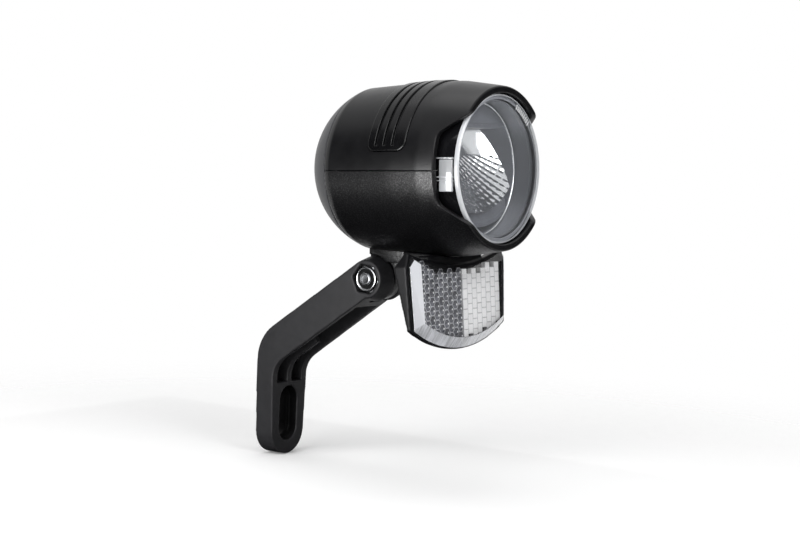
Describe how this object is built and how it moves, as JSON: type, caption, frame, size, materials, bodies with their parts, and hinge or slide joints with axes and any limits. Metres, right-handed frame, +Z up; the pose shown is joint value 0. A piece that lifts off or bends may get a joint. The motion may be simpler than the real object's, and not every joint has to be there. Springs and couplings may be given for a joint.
{
  "type": "bicycle headlight",
  "caption": "Round bicycle headlight with a visor, a clear lens over a mirror bowl and a reflector below, tilting on a cranked fork bracket with a bolt slot.",
  "frame": {"origin": "middle of the bolt slot on the bracket's back face", "axes": "+X forward, the way the lamp shines; +Z up along the bracket's plate; +Y to the rider's left"},
  "size_m": [0.0833, 0.0516, 0.1177],
  "materials": {
    "shell": "grained satin",
    "cap": "satin",
    "panel": "semi gloss",
    "lens": "clear",
    "seal": "matte",
    "mirror": "mirror",
    "bezel": "satin",
    "led": "satin",
    "led_board": "satin",
    "sink": "satin",
    "driver": "satin",
    "capacitor": "gloss",
    "terminal": "satin",
    "screw": "satin",
    "reflector": "clear, with prisms",
    "housing": "satin",
    "bracket": "satin",
    "bolt": "bright"
  },
  "bodies": {
    "bracket": {"bracket": "bracket", "pivot_bolt": "bolt", "pivot_nut": "bolt", "pivot_washers": "bolt"},
    "lamp": {"upper_shell": "shell", "lower_shell": "shell", "rear_cap": "cap", "rib_panel": "panel", "lens": "lens", "lens_seal": "seal", "cap_seal": "seal", "cable_grommet": "seal", "mirror_bowl": "mirror", "bezel": "bezel", "led_emitter": "led", "led_board": "led_board", "heat_sink": "sink", "driver_board": "driver", "capacitor": "capacitor", "cable_terminal": "terminal", "cap_screws": "screw", "reflector_screw": "screw", "reflector_lens": "reflector", "reflector_housing": "housing"}
  },
  "joints": [
    {"name": "lamp_tilt", "type": "hinge", "parent": "bracket", "child": "lamp", "pos_m": [0.0396, 0, 0.0448], "axis": [0, -1, 0], "range_deg": [-60, 50]}
  ]
}
